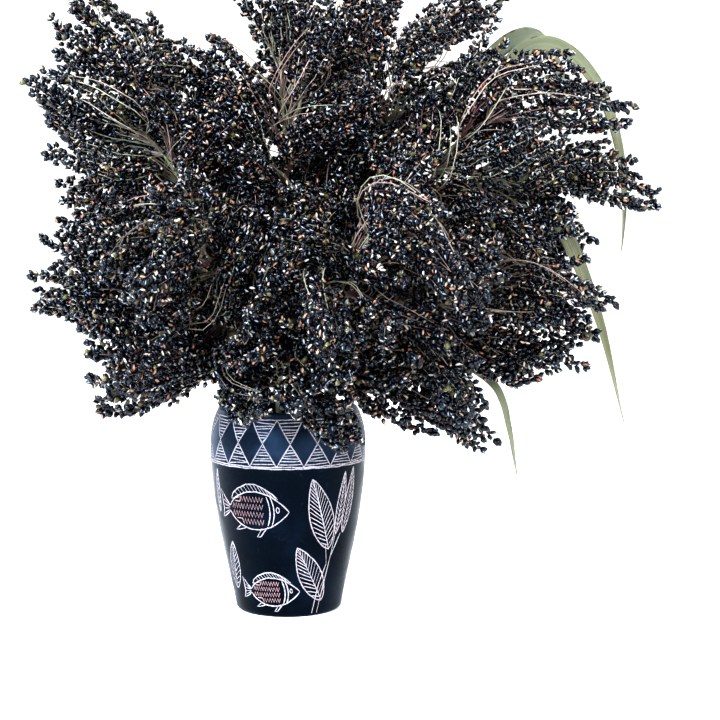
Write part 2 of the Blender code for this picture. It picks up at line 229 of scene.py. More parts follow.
# Carving: the band of diamonds under the rim, and the figures below it
LINE_WIDTH, THIN_LINE = 0.00085, 0.8
LINE_LIFT = 0.00010
LINE_STEP = 0.0022
LINE_WANDER = 0.00012
LINE_WIDTHS, LINE_END_SHARE = (0.75, 1.15), 0.6
BAND_TOP, BAND_BOTTOM, BAND_EDGE = 0.1325, 0.1025, 0.0011
BAND_REPEATS, BAND_STEPS = 18, 73
BAND_TURN = math.radians(-6)
BAND_STRAY, BAND_WANDER = 0.006, 0.0001
HATCHES = 8
HATCH_STRAY, HATCH_TILT = 0.00015, 0.0003
FIGURE_LOW, FIGURE_MARGIN = 0.002, 0.003
EDGE_POINTS, MIDRIB_POINTS = 22, 8
VEIN_SPACING, FEWEST_VEINS = 2.9, 6
VEIN_SLANT, VEIN_RISE, VEIN_REACH = 0.95, 0.02, 0.9
SCALE_ROWS, SCALE_TOP, SCALE_GAP, SCALE_HALF, SCALE_MARGIN = 4, 6.6, 4.4, 1.55, 0.7

# Stage: each light's place, target, size, power and colour, and the camera
COOL, SKY = (0.90, 0.95, 1.0), (0.55, 0.75, 1.0)
LIGHTS = {
    "key": ((-0.9, -1.1, 1.3), (0, 0, 0.22), (0.4, 0.4), 46, COOL),
    "fill": ((1.3, -0.9, 0.8), (0, 0, 0.22), (0.4, 0.4), 22, COOL),
    "sheen": ((-0.65, -1.46, 0.60), (0, 0, 0.12), (0.8, 0.35), 34, SKY),
    "top": ((0.1, 0.5, 1.5), (0, 0, 0.25), (0.6, 0.6), 14, COOL),
    "rim_left": ((-1.2, 0.9, 0.45), (0, 0, 0.2), (0.7, 1.2), 6, SKY),
    "rim_right": ((1.3, 0.9, 0.45), (0, 0, 0.2), (0.7, 1.2), 6, SKY),
}
WORLD_STRENGTH = 1.08
FLOOR_HALF, FLOOR_DROP = 30.0, 0.0002
CAMERA_PLACE, CAMERA_PITCH = (0.0485, -1.05, 0.261), 5.1
CAMERA_LENS, CAMERA_SENSOR = 78.4, 36.0
CAMERA_CLIP = (0.05, 100.0)


def unit(v):
    return v / np.linalg.norm(v)


def units(vectors):
    return vectors / np.linalg.norm(vectors, axis=1)[:, None]


def between(pair, share):
    return pair[0] + (pair[1] - pair[0]) * share


def pitch_direction(vector, pitch):
    """The vector's heading, tilted to this many degrees above the horizon."""
    flat = unit(np.array([vector[0], vector[1], 0.0]) + 1e-9)
    angle = math.radians(pitch)
    return flat * math.cos(angle) + np.array([0, 0, math.sin(angle)])


def bezier(p0, p1, p2, p3, u):
    u = np.asarray(u)[:, None]
    v = 1 - u
    return v**3 * p0 + 3 * v**2 * u * p1 + 3 * v * u**2 * p2 + u**3 * p3


def smooth_through(points, count):
    """Evenly numbered points of a Catmull-Rom curve through the given ones."""
    p = np.array(points, float)
    p = np.vstack([2 * p[0] - p[1], p, 2 * p[-1] - p[-2]])
    out = []
    for u in np.linspace(0, len(points) - 1, count):
        i = min(int(u), len(points) - 2)
        t = u - i
        a, b, c, d = p[i : i + 4]
        out.append(
            0.5 * (2 * b + (c - a) * t + (2 * a - 5 * b + 4 * c - d) * t**2
                   + (3 * b - a - 3 * c + d) * t**3)
        )
    return np.array(out)


def slots_round_the_mouth():
    """Each head's angle round the vase's mouth: evenly spaced, in order of heading."""
    outer = [h for h in HEADS if h[0] != CENTRE_HEAD]
    heading = {n: math.atan2(tip[1], tip[0]) for n, tip, _ in outer}
    order = sorted(heading, key=heading.get)
    step = math.tau / len(order)
    even = [i * step for i in range(len(order))]
    shift = np.angle(np.mean([np.exp(1j * (heading[n] - a)) for n, a in zip(order, even)]))
    slots = {n: a + shift for n, a in zip(order, even)}
    slots[CENTRE_HEAD] = 0.0
    return slots


def culm_points(name, slot):
    """Foot on the vase's floor, and neck in the mouth, of one head's culm."""
    inner = name == CENTRE_HEAD
    out = np.array([math.cos(slot), math.sin(slot), 0.0])
    foot = out * (0.0 if inner else CULM_FOOT_RING)
    neck = out * (0.0 if inner else CULM_NECK_RING)
    foot[2] = VASE_FLOOR + CULM_LIFT
    neck[2] = VASE_HEIGHT
    return foot, neck


def head_axis(name, tip, pitch, slot):
    """The curve from the mouth to the head's far tip."""
    foot, neck = culm_points(name, slot)
    tip = np.array(tip) / 1000
    reach = np.linalg.norm(tip - neck)
    start = neck + unit(neck - foot) * reach * ARCH_OUT
    end = tip - pitch_direction(tip - neck, pitch) * reach * ARCH_IN
    return bezier(neck, start, end, tip, np.linspace(0, 1, AXIS_POINTS))


def tangents(line):
    return units(np.gradient(line, axis=0))


def head_sprays(axis, rng):
    """The sprays of one head: a list of lines, the lowest first and the leader last."""
    along = tangents(axis)
    last = len(axis) - 1
    turn = rng.uniform(0, math.tau)
    lines = []
    for i in range(SPRAYS_PER_HEAD):
        share = i / (SPRAYS_PER_HEAD - 1)
        at = round(between(SPRAY_SHARES, share) * last)
        angle = math.radians(between(SPRAY_ANGLES, share))
        length = between(SPRAY_LENGTHS, share) * rng.uniform(*SPRAY_LENGTH_STRAY)
        turn += GOLDEN_ANGLE + rng.uniform(-SPRAY_TURN_STRAY, SPRAY_TURN_STRAY)
        t = along[at]
        side = unit(np.cross(t, ANY_WAY))
        out = side * math.cos(turn) + np.cross(t, side) * math.sin(turn)
        direction = t * math.cos(angle) + out * math.sin(angle)
        lines.append(drooping_line(axis[at], direction, length))
    return lines


def drooping_line(root, direction, length):
    """A line that sets out in a direction and sags more and more under its own weight."""
    step = length / (LINE_POINTS - 1)
    points = [np.array(root)]
    for _ in range(LINE_POINTS - 1):
        points.append(points[-1] + direction * step)
        direction = unit(direction + np.array([0, 0, -SPRAY_DROOP * step]))
    return np.array(points)


def club_radius(u):
    """Radius of the club of seeds at a share of its spray's length."""
    return SPRAY_RADIUS * (0.30 + 0.70 * np.sin(np.pi * (1 - u) ** 0.8) ** 0.8)


def spray_radii(count):
    """Radius of a spray at each of its points: a bare stalk, then a club of seeds."""
    u = np.linspace(0, 1, count)
    return np.where(u < BARE_SHARE, STALK_RADIUS, club_radius(u))


def near_pairs(p, radii, who, others, reach, theirs):
    """Index pairs of points and foreign points that may come to touch within a few rounds."""
    square = (p**2).sum(1)[:, None] + (others**2).sum(1)[None] - 2 * p @ others.T
    near = square < (radii[:, None] + reach[None] + NEAR_MARGIN) ** 2
    return np.nonzero(near & (who[:, None] != theirs[None]))


def crowding(p, radii, others, reach, pairs):
    """How far each point must move to come clear of the others that it is paired with."""
    i, j = pairs
    gap = p[i] - others[j]
    far = np.linalg.norm(gap, axis=1) + 1e-9
    short = np.maximum(radii[i] + reach[j] + CLEARANCE - far, 0)
    move = np.zeros_like(p)
    np.add.at(move, i, gap * (short / far)[:, None])
    return move


def clear_of_vase(p, radii):
    """How far each point must move to come clear of the vase: over its rim or away from its side."""
    ring = np.hypot(p[:, 0], p[:, 1]) + 1e-9
    wall = VASE_CLEAR_RADIUS + radii - ring
    lift = VASE_HEIGHT + radii + CLEARANCE - p[:, 2]
    inside = (wall > 0) & (lift > 0)
    over = inside & (lift < wall)
    past = inside & ~over
    move = np.zeros_like(p)
    move[over, 2] = lift[over]
    move[past, :2] = (p[:, :2] * (wall / ring)[:, None])[past]
    return move


def push_apart(sprays, owner, fixed):
    """Bends the sprays clear of each other, of foreign culms, of the leaves and the vase.

    fixed holds the points, radii and owners of what doesn't give way."""
    lines = np.array(sprays)
    count, points, _ = lines.shape
    radii = np.maximum(spray_radii(points) * SEED_RISE, STALK_RADIUS * 2)
    radii = np.tile(radii, count)
    spray = np.repeat(np.arange(count), points)
    head = np.repeat(owner, points)
    solid, reach, holder = fixed
    steps = np.linalg.norm(np.diff(lines, axis=1), axis=2)
    for turn in range(PUSH_ROUNDS):
        p = lines.reshape(-1, 3)
        if turn % ROUNDS_PER_SEARCH == 0:
            mutual = near_pairs(p, radii, spray, p, radii, spray)
            against = near_pairs(p, radii, head, solid, reach, holder)
        move = 0.5 * crowding(p, radii, p, radii, mutual)
        move += FIRM_PUSH * crowding(p, radii, solid, reach, against) + clear_of_vase(p, radii)
        far = np.linalg.norm(move, axis=1)[:, None]
        move *= np.minimum(1, MOST_PUSH / (far + 1e-9))
        lines = lines + move.reshape(lines.shape) * (np.arange(points) > 0)[None, :, None]
        middle = (lines[:, :-2] + lines[:, 2:]) / 2
        lines[:, 1:-1] += SMOOTHING * (middle - lines[:, 1:-1])
        for k in range(1, points):
            way = units(lines[:, k] - lines[:, k - 1])
            lines[:, k] = lines[:, k - 1] + way * steps[:, k - 1, None]
    return lines


def frames(line):
    """Side and up vectors along a line, carried along it without twisting."""
    t = tangents(line)
    side = unit(np.cross(t[0], ANY_WAY))
    sides = []
    for direction in t:
        side = unit(side - direction * (side @ direction))
        sides.append(side)
    sides = np.array(sides)
    return t, sides, np.cross(t, sides)


def leaf_lines(axes):
    """Each leaf's midrib, from its culm outwards."""
    lines = {}
    for name, head, share, _, points in LEAVES:
        axis = axes[head]
        at = round(share * (len(axis) - 1))
        along = tangents(axis)[at]
        away = np.array(points[0]) / 1000 - axis[at]
        root = axis[at] + unit(away - along * (away @ along)) * (CULM_RADIUS + LEAF_GAP)
        lines[name] = smooth_through([root, *(np.array(p) / 1000 for p in points)], LEAF_STEPS)
    return lines


def vase_radius(z):
    """Outer radius at a height: a flare up to the belly, then a soft shoulder."""
    if z < VASE_BELLY_HEIGHT:
        rise = math.sin(math.pi / 2 * z / VASE_BELLY_HEIGHT) ** VASE_FLARE
        return between((VASE_FOOT_RADIUS, VASE_BELLY_RADIUS), rise)
    fall = ((z - VASE_BELLY_HEIGHT) / (VASE_HEIGHT - VASE_BELLY_HEIGHT)) ** VASE_SHOULDER
    return between((VASE_BELLY_RADIUS, VASE_RIM_RADIUS), fall)


def add_object(name, data):
    obj = bpy.data.objects.new(name, data)
    bpy.context.scene.collection.objects.link(obj)
    return obj


def make_piece(name, verts, faces, mat, slot, node=None, **attributes):
    """A smooth-shaded piece from arrays, on the root body, in place of a solid if one is named.

    attributes holds a vector for each of its points."""
    verts, faces = np.asarray(verts, np.float32), np.asarray(faces, np.int32)
    mesh = bpy.data.meshes.new(name)
    mesh.vertices.add(len(verts))
    mesh.vertices.foreach_set("co", verts.ravel())
    mesh.loops.add(faces.size)
    mesh.loops.foreach_set("vertex_index", faces.ravel())
    mesh.polygons.add(len(faces))
    mesh.polygons.foreach_set("loop_start", np.arange(0, faces.size, faces.shape[1], dtype=np.int32))
    mesh.update(calc_edges=True)
    mesh.shade_smooth()
    for label, values in attributes.items():
        attribute = mesh.attributes.new(label, "FLOAT_VECTOR", "POINT")
        attribute.data.foreach_set("vector", np.asarray(values, np.float32).ravel())
    mesh.materials.append(mat)
    obj = add_object(name, mesh)
    if node:
        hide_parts(node)
    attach(obj, "root")
    return obj


def joined(parts):
    """Several (verts, faces, values) arrays as one."""
    start, verts, faces, values = 0, [], [], []
    for v, f, c in parts:
        verts.append(v)
        faces.append(f + start)
        values.append(c)
        start += len(v)
    return np.vstack(verts), np.vstack(faces), np.vstack(values)


def grid_faces(rings, sides):
    """Four-sided faces between rings of points, closed round each ring."""
    i, j = np.meshgrid(np.arange(rings - 1), np.arange(sides), indexing="ij")
    k = (j + 1) % sides
    corners = (i * sides + j, i * sides + k, (i + 1) * sides + k, (i + 1) * sides + j)
    return np.stack(corners, -1).reshape(-1, 4)


def tube_arrays(line, ends, sides, chance):
    """A tube round a line, with its radius at both ends."""
    _, side, up = frames(line)
    a = np.arange(sides) * math.tau / sides
    ring = side[:, None] * np.cos(a)[None, :, None] + up[:, None] * np.sin(a)[None, :, None]
    radii = np.linspace(*ends, len(line))[:, None, None]
    verts = (line[:, None] + ring * radii).reshape(-1, 3)
    return verts, grid_faces(len(line), sides), np.tile(chance, (len(verts), 1))


def square_frame(along):
    """Two unit vectors across each of many directions."""
    side = units(np.cross(along, ANY_WAY))
    return side, np.cross(along, side)


def twig_arrays(start, end, radius, chance):
    """Many straight three-sided twigs at once."""
    side, up = square_frame(units(end - start))
    corners = []
    for at, share in ((start, 1.0), (end, TWIG_TAPER)):
        for j in range(3):
            a = math.tau * j / 3
            corners.append(at + (side * math.cos(a) + up * math.sin(a)) * radius * share)
    verts = np.stack(corners, 1).reshape(-1, 3)
    one = np.array([[0, 1, 4, 3], [1, 2, 5, 4], [2, 0, 3, 5]])
    faces = (one[None] + 6 * np.arange(len(start))[:, None, None]).reshape(-1, 4)
    return verts, faces, np.repeat(chance, 6, axis=0)


def seed_arrays(base, along, length, width, spin, rings):
    """Many pointed egg-shaped seeds at once, with each point's place within its seed."""
    side, up = square_frame(along)
    c, s = np.cos(spin)[:, None], np.sin(spin)[:, None]
    side, up = side * c + up * s, up * c - side * s
    local = [(0, 0, 0)]
    for r, (z, share) in enumerate(rings):
        for j in range(SEED_SIDES):
            a = math.tau * (j + 0.5 * r) / SEED_SIDES
            local.append((share * math.cos(a), share * math.sin(a), z))
    local.append((0, 0, 1))
    local = np.array(local)
    n = len(local)
    x, y, z = local.T[:, None, :, None]
    half = (width / 2)[:, None, None]
    x, y = x * half * side[:, None], y * half * up[:, None] * SEED_FLATNESS
    z = z * length[:, None, None] * along[:, None]
    verts = (base[:, None] + x + y + z).reshape(-1, 3)
    m = SEED_SIDES
    one = []
    for j in range(m):
        k = (j + 1) % m
        one += [(0, 1 + k, 1 + j), (n - 1 - m + j, n - 1 - m + k, n - 1)]
        if len(rings) == 2:
            one += [(1 + j, 1 + k, 1 + m + j), (1 + k, 1 + m + k, 1 + m + j)]
    faces = (np.array(one)[None] + n * np.arange(len(base))[:, None, None]).reshape(-1, 3)
    return verts, faces, np.tile(local, (len(base), 1))


def smooth_step(x):
    x = min(1.0, max(0.0, x))
    return x * x * (3 - 2 * x)


def beside(centre, side, up, share, angle, off):
    """A point at a share of a line's length, set off from it at an angle."""
    at = share * (len(centre) - 1)
    i = min(int(at), len(centre) - 2)
    out = side[i] * math.cos(angle) + up[i] * math.sin(angle)
    return between(centre[i : i + 2], at - i) + out * off


def string_line(centre, side, up, end, angle, spread, rng):
    """One string's line: out of the rachis in the bundle, then apart towards the club's skin."""
    points = []
    for u in np.linspace(0, end, STRING_POINTS):
        share = smooth_step((u - SPREAD_START) / SPREAD_SPAN)
        skin = spread * club_radius(SPREAD_SCALE * u + SPREAD_FIRST)
        off = between((STRING_BUNCH, skin), share)
        point = beside(centre, side, up, u, angle + STRING_TWIST * share, off)
        point[2] -= STRING_SAG * (u / end) ** STRING_SAG_POWER
        points.append(point)
    points = np.array(points)
    points[1:] += rng.normal(0, STRING_WOBBLE, points[1:].shape)
    return clear_of_stone(points)


def clear_of_stone(points):
    """Keeps strings that hang in front of the vase off its skin."""
    r = np.maximum(np.hypot(points[:, 0], points[:, 1]), 0.001)
    low = points[:, 2] < VASE_HEIGHT + STONE_GAP
    need = np.where(low & (r > VASE_RIM_RADIUS - VASE_WALL), np.maximum(VASE_CLEAR_RADIUS, r), r)
    points[:, :2] *= (need / r)[:, None]
    return points


def mouth_lines(axis, rng):
    """Short low sprays that fill the room round the culms and hang over the rim."""
    lines = []
    for share in MOUTH_SPRAYS:
        root = axis[round(share * (len(axis) - 1))]
        turn = math.atan2(root[1], root[0]) + rng.uniform(-MOUTH_STRAY, MOUTH_STRAY)
        way = unit(np.array([math.cos(turn), math.sin(turn), MOUTH_RISE * rng.uniform(*MOUTH_RISES)]))
        lines.append(drooping_line(root, way, MOUTH_LENGTH * rng.uniform(*MOUTH_LENGTHS)))
    return lines


def crown_lines(axis, rng):
    """More sprays round the upper part of a rachis, in the room that the clubs leave."""
    forward = unit(axis[RACHIS_LAST] - axis[RACHIS_LAST - 3])
    lines = []
    for share in CROWN_SPRAYS:
        out = rng.normal(0, 1, 3) + CROWN_LIFT
        out = unit(out - (out @ forward) * forward)
        way = unit(forward * CROWN_FORWARD + out * CROWN_OUT)
        length = CROWN_LENGTH * rng.uniform(*CROWN_LENGTHS)
        lines.append(drooping_line(axis[round(share * RACHIS_LAST)], way, length))
    return lines


def along_line(line, spacing, start):
    """Places and directions along a line from a share of its length on, closer towards its tip."""
    steps = np.linalg.norm(np.diff(line, axis=0), axis=1)
    far = np.concatenate([[0], np.cumsum(steps)])
    at = [start * far[-1]]
    while at[-1] < far[-1]:
        share = (at[-1] / far[-1] - start) / (1 - start)
        at.append(at[-1] + between(spacing, min(1.0, NODE_CLOSING * share)))
    at[-1] = far[-1]
    t = tangents(line)
    places = np.stack([np.interp(at, far, line[:, k]) for k in range(3)], 1)
    ways = np.stack([np.interp(at, far, t[:, k]) for k in range(3)], 1)
    return places, units(ways)


def between_lines(own):
    """Lines midway between neighbouring sprays, for the gaps that the clubs leave."""
    count = range(len(own))
    pairs = sorted((abs(np.linalg.norm(own[i][-1] - own[j][-1]) - BETWEEN_GAP), i, j)
                   for i in count for j in count if i < j)
    used, lines = set(), []
    for _, i, j in pairs:
        if len(lines) < BETWEEN_SPRAYS and not used & {i, j}:
            used |= {i, j}
            lines.append((np.array(own[i]) + np.array(own[j])) / 2)
    return lines


def dress_spray(line, rng, stalks, seeds, strings, spreads, strands):
    """Adds the strings, twigs and seeds of one spray."""
    centre = smooth_through(line, CENTRE_POINTS)
    _, side, up = frames(centre)
    turn = rng.uniform(0, math.tau)
    tone = rng.uniform(0, 1)
    for k in range(strings):
        share = k / (strings - 1)
        end = min(1.0, between(STRING_ENDS, share) + rng.uniform(*STRING_END_STRAY))
        start = between(SEEDS_START, share)
        spread = between(spreads, (k * GOLDEN_SHARE + tone) % 1)
        string = string_line(centre, side, up, end, turn + k * GOLDEN_ANGLE, spread, rng)
        chance = (np.clip(tone + rng.normal(0, STRING_TONE_STRAY), 0, 1), rng.uniform(), 0)
        stalks.append(tube_arrays(string, STRING_RADIUS, 3, chance))
        places, ways = along_line(string, NODE_SPACING, start / end)
        places[:-1] += ways[:-1] * rng.uniform(-NODE_STRAY, NODE_STRAY, (len(places) - 1, 1))
        dress_nodes(places, ways, rng, stalks, seeds, chance)
    middle = len(centre) // 2
    outward = centre[middle] * OUTWARD
    facing = math.atan2(outward @ up[middle], outward @ side[middle])
    for _ in range(strands):
        angle = facing + rng.normal(0, STRAND_STRAY)
        strand = loose_line(centre, side, up, rng.uniform(*STRAND_ENDS), angle, rng)
        chance = (rng.uniform(*STRAND_TONE), rng.uniform(), 0)
        stalks.append(tube_arrays(strand, STRAND_RADIUS, 3, chance))


def loose_line(centre, side, up, end, angle, rng):
    """A bare strand that bows out over the seeds and comes back to its spray."""
    reach = rng.uniform(*STRAND_REACH)
    points = []
    for share in np.linspace(0, 1, STRAND_POINTS):
        off = STRING_BUNCH + reach * math.sin(math.pi * share**STRAND_RISE) ** STRAND_FULLNESS
        points.append(beside(centre, side, up, share * end, angle + STRAND_TWIST * share, off))
    return clear_of_stone(np.array(points))


def dress_nodes(places, ways, rng, stalks, seeds, chance):
    """A whorl of seeds at each node, the first on a twig; the last node's point straight on."""
    count = len(places)
    across, above = square_frame(ways)
    turn = rng.uniform(0, 6.28) + np.arange(count) * GOLDEN_ANGLE + rng.normal(0, WHORL_STRAY, count)
    shorter = np.linspace(1.0, TIP_SHORTENING, count)
    for i in range(SEEDS_PER_NODE):
        a = turn + i * WHORL_TURN
        out = across * np.cos(a)[:, None] + above * np.sin(a)[:, None]
        lean = np.radians(rng.uniform(*SEED_LEANS, count))
        lean[-1] = TIP_LEAN * i
        way = ways * np.cos(lean)[:, None] + out * np.sin(lean)[:, None]
        reach = rng.uniform(*(SEAT_LENGTH if i else TWIG_LENGTH), count) * shorter
        if i == 0:
            shown = reach > TWIG_SHOWN
            ends = places + way * reach[:, None]
            values = np.tile(chance, (shown.sum(), 1))
            stalks.append(twig_arrays(places[shown], ends[shown], TWIG_RADIUS, values))
        keep = rng.uniform(0, 1, count) < (LAST_SEED_SHARE if i == SEEDS_PER_NODE - 1 else 1.0)
        n = int(keep.sum())
        if not n:
            continue
        heading = units(way[keep] + rng.normal(0, SEED_STRAY, (n, 3)))
        base = places[keep] + way[keep] * reach[keep, None] + ways[keep] * (i - 1) * SEED_STAGGER
        seeds.append((base, heading, rng.uniform(*SEED_SIZES, n), rng.uniform(0, 1, (n, 3))))


def dress_head(name, foot, axis, lines, rng, mats):
    """The seeds and the stalks of one head, in place of its solid."""
    stalks, seeds = [], []
    culm = smooth_through([foot, *axis[: RACHIS_LAST + 1 : 2]], CULM_POINTS)
    chance = (rng.uniform(*CULM_TONE), rng.uniform(), 1)
    stalks.append(tube_arrays(culm, CULM_TRUE_RADIUS, CULM_ROUND, chance))
    for line in lines:
        dress_spray(line, rng, stalks, seeds, STRINGS, STRING_SPREAD, STRANDS)
    extra = crown_lines(axis, rng) if name in CROWN_HEADS else []
    for line in [*mouth_lines(axis, rng), *between_lines(lines), *extra]:
        dress_spray(line, rng, stalks, seeds, FILL_STRINGS, FILL_SPREAD, 0)
    base, way, size, chance = (np.concatenate(part) for part in zip(*seeds))
    spin = rng.uniform(0, math.tau, len(base))
    outer = np.linalg.norm((base - MASS_CENTRE) / MASS_HALF, axis=1) > DETAIL_FROM
    parts = []
    for pick, rings in ((outer, SEED_RINGS), (~outer, PLAIN_RINGS)):
        length, width = SEED_LENGTH * size[pick], SEED_WIDTH * size[pick]
        verts, faces, local = seed_arrays(base[pick], way[pick], length, width, spin[pick], rings)
        per_seed = 2 + SEED_SIDES * len(rings)
        parts.append((verts, faces, np.hstack([local, np.repeat(chance[pick], per_seed, axis=0)])))
    verts, faces, values = joined(parts)
    short = name.removeprefix("head_")
    make_piece(f"seeds_{short}", verts, faces, mats["seed"], "seed_head", name,
               local=values[:, :3], chance=values[:, 3:])
    verts, faces, values = joined(stalks)
    make_piece(f"stalks_{short}", verts, faces, mats["stalk"], "dry_leaf", name, chance=values)


# Carved vase


def vase_point(angle, z, lift=0.0):
    """A point on the vase's skin: angle 0 faces the front, and grows to the viewer's right."""
    r = vase_radius(z) + lift
    return np.array([r * math.sin(angle), -r * math.cos(angle), z])


def make_vase(mat):
    """The turned wall at full smoothness, with rounded foot and lip."""
    low, top = FOOT_CORNER[0][0], VASE_HEIGHT - VASE_LIP
    half = VASE_WALL * LIP_SHARE
    middle = vase_radius(top) - half
    profile = [(VASE_AXIS_HOLE, 0.0)]
    profile += [(VASE_FOOT_RADIUS - inset, z) for inset, z in FOOT_CORNER]
    profile += [(vase_radius(z), z) for z in np.linspace(low, top, VASE_OUTER_RINGS)]
    for a in np.linspace(LIP_START, math.pi - LIP_START, VASE_LIP_RINGS):
        profile.append((middle + half * math.cos(a), top + VASE_LIP * math.sin(a)))
    for z in np.linspace(VASE_HEIGHT - LIP_INSIDE, VASE_FLOOR, VASE_INNER_RINGS):
        profile.append((vase_radius(z) - VASE_WALL, z))
    profile.append((VASE_AXIS_HOLE, VASE_FLOOR))
    r, z = np.array(profile).T[:, :, None]
    a = np.arange(VASE_ROUND) * math.tau / VASE_ROUND
    verts = np.stack([r * np.cos(a), r * np.sin(a), np.repeat(z, VASE_ROUND, 1)], -1)
    faces = grid_faces(len(r), VASE_ROUND)
    vase = make_piece("vase_body", verts.reshape(-1, 3), faces, mat, "carved_stone", "vase")
    vase.data.set_sharp_from_angle(angle=SHARP_ANGLE)


def scratch(points, width, rng, out, blush=0.0):
    """One hand-cut line on the vase's skin, through points of angle and height."""
    fine = []
    for p, q in zip(points, points[1:]):
        count = max(1, int(abs(q[0] - p[0]) * VASE_BELLY_RADIUS / LINE_STEP))
        fine += [(p[0] + (q[0] - p[0]) * i / count, p[1] + (q[1] - p[1]) * i / count)
                 for i in range(count)]
    fine.append(points[-1])
    count = len(fine)
    slow = rng.normal(0, LINE_WANDER, count)
    slow[1:] = (slow[1:] + slow[:-1]) / 2
    line = np.array([vase_point(a, z + w, LINE_LIFT) for (a, z), w in zip(fine, slow)])
    side = np.cross(units(line * [1, 1, 0]), tangents(line))
    half = width / 2 * rng.uniform(*LINE_WIDTHS, count)
    half[[0, -1]] *= LINE_END_SHARE
    verts = np.stack([line - side * half[:, None], line + side * half[:, None]], 1).reshape(-1, 3)
    i = np.arange(count - 1) * 2
    faces = np.stack([i, i + 2, i + 3, i + 1], 1)
    out.append((verts, faces, np.tile((rng.uniform(), blush, 0), (len(verts), 1))))


def carve_band(rng, out):
    """Plain diamonds between hatched triangles, edged by three lines."""
    step = math.tau / BAND_REPEATS
    middle = (BAND_TOP + BAND_BOTTOM) / 2
    for z in (BAND_TOP, BAND_BOTTOM, BAND_BOTTOM - BAND_EDGE):
        around = [(a, z + rng.normal(0, BAND_WANDER)) for a in np.linspace(0, math.tau, BAND_STEPS)]
        scratch(around, LINE_WIDTH, rng, out)
    for i in range(BAND_REPEATS):
        centre = BAND_TURN + i * step + rng.normal(0, BAND_STRAY)
        left, right = centre - step / 2, centre + step / 2
        ends = (left, middle), (right, middle)
        corners = (ends[0], (centre, BAND_TOP), ends[1], (centre, BAND_BOTTOM), ends[0])
        for side in zip(corners, corners[1:]):
            scratch(side, LINE_WIDTH, rng, out)
        for row in range(1, HATCHES):
            share = row / HATCHES
            half = step / 2 * (1 - share)
            for edge in (BAND_TOP, BAND_BOTTOM):
                z = between((edge, middle), share) + rng.normal(0, HATCH_STRAY)
                tilt = rng.normal(0, HATCH_TILT)
                ends = ((right - half, z - tilt), (right + half, z + tilt))
                scratch(ends, LINE_WIDTH * THIN_LINE, rng, out)


def on_vase(angle, z, turn):
    """Maps millimetres in a figure's own plane to angle and height on the vase."""
    c, s = math.cos(turn), math.sin(turn)

    def place(x, y):
        across, rise = (x * c - y * s) / 1000, (x * s + y * c) / 1000
        height = min(max(z + rise, FIGURE_LOW), BAND_BOTTOM - FIGURE_MARGIN)
        return angle + across / vase_radius(height), height

    return place


def carve_leaf(angle, z, turn, length, width, rng, out):
    """A pointed leaf with a midrib and slanting veins, its stalk end at the bottom."""
    on_plane = on_vase(angle, z, turn)

    def place(across, u):
        return on_plane(across, (u - 0.5) * length)

    def half_width(u):
        return width / 2 * math.sin(math.pi * u ** 0.85) ** 0.8

    for sign in (-1, 1):
        edge = [place(sign * half_width(u), u) for u in np.linspace(0, 1, EDGE_POINTS)]
        scratch(edge, LINE_WIDTH, rng, out)
    midrib = [place(0, u) for u in np.linspace(0, 1, MIDRIB_POINTS)]
    scratch(midrib, LINE_WIDTH * THIN_LINE, rng, out)
    veins = max(FEWEST_VEINS, int(length / VEIN_SPACING))
    for i in range(1, veins):
        u = i / veins
        for sign in (-1, 1):
            end = min(0.98, u + VEIN_SLANT * half_width(u) / length + VEIN_RISE)
            tip = place(sign * half_width(end) * VEIN_REACH, end)
            scratch([place(0, u), tip], LINE_WIDTH * THIN_LINE, rng, out)


def carve_fish(angle, z, turn, size, rng, out):
    """A plain deep-bodied fish, nose to the right, with rows of zigzag scales."""
    place = on_vase(angle, z, turn)

    def cut(points, share=1.0, blush=0.0):
        scratch([place(x * size, y * size) for x, y in points], LINE_WIDTH * share, rng, out, blush)

    def back(x):
        u = (x + 17) / 38
        return 1.6 + 9.6 * max(0.0, math.sin(math.pi * u**0.9)) ** 0.8 - 1.5 * max(0.0, u - 0.72) / 0.28

    for sign in (1, -1):
        cut([(x, sign * back(x)) for x in np.linspace(-17, 21, 24)])
    for x, bow in ((7.6, 2.4), (9.8, 2.6)):
        cut([(x + bow * (1 - (y / 10) ** 2), y) for y in np.linspace(-8.6, 8.6, 9)])
    around = np.linspace(0, math.tau, 11)
    cut([(14.6 + 0.9 * math.cos(a), 0.9 + 1.7 * math.sin(a)) for a in around], 0.8)
    cut([(-17, 1.6), (-21, 5.0), (-25.5, 10.5), (-24.4, 4.0), (-23.6, -1.0), (-25.0, -6.5), (-20.5, -4.0),
         (-17, -1.6)])
    for y in (-1.1, -0.2, 0.7, 1.5):
        cut([(-17.6, y), (-23.4, 3.1 * y - 0.4)], 0.7)
    crest = [(-15.5, 6.0), (-14.2, 9.2), (-10, 12.6), (-4, 15.2), (1, 15.6), (6, 14.0),
             (12, 10.2), (15, 7.2)]
    cut([(-15.5, 6.0), (-9, 7.6)], 0.8)
    cut(crest)
    for x in np.arange(-12.5, 12, 2.2):
        top = np.interp(x, [c[0] for c in crest], [c[1] for c in crest])
        cut([(x - 0.2, top), (x + 2.6, back(x + 2.6) + 0.1)], 0.7)
    cut([(-9, -8.6), (-13.5, -12.4), (-10.5, -12.0), (-6, -10.6)], 0.9)
    cut([(4.5, -10.2), (1.0, -15.4), (3.2, -15.0), (8.0, -9.2)], 0.9)
    for row in range(SCALE_ROWS):
        middle = SCALE_TOP - row * SCALE_GAP
        zigzag = []
        for i, x in enumerate(np.arange(-15.0, 7.0, 1.0)):
            y = middle + (SCALE_HALF if i % 2 else -SCALE_HALF)
            if abs(y) < back(x) - SCALE_MARGIN:
                zigzag.append((x, y))
        cut(zigzag, 0.95, 1.0)


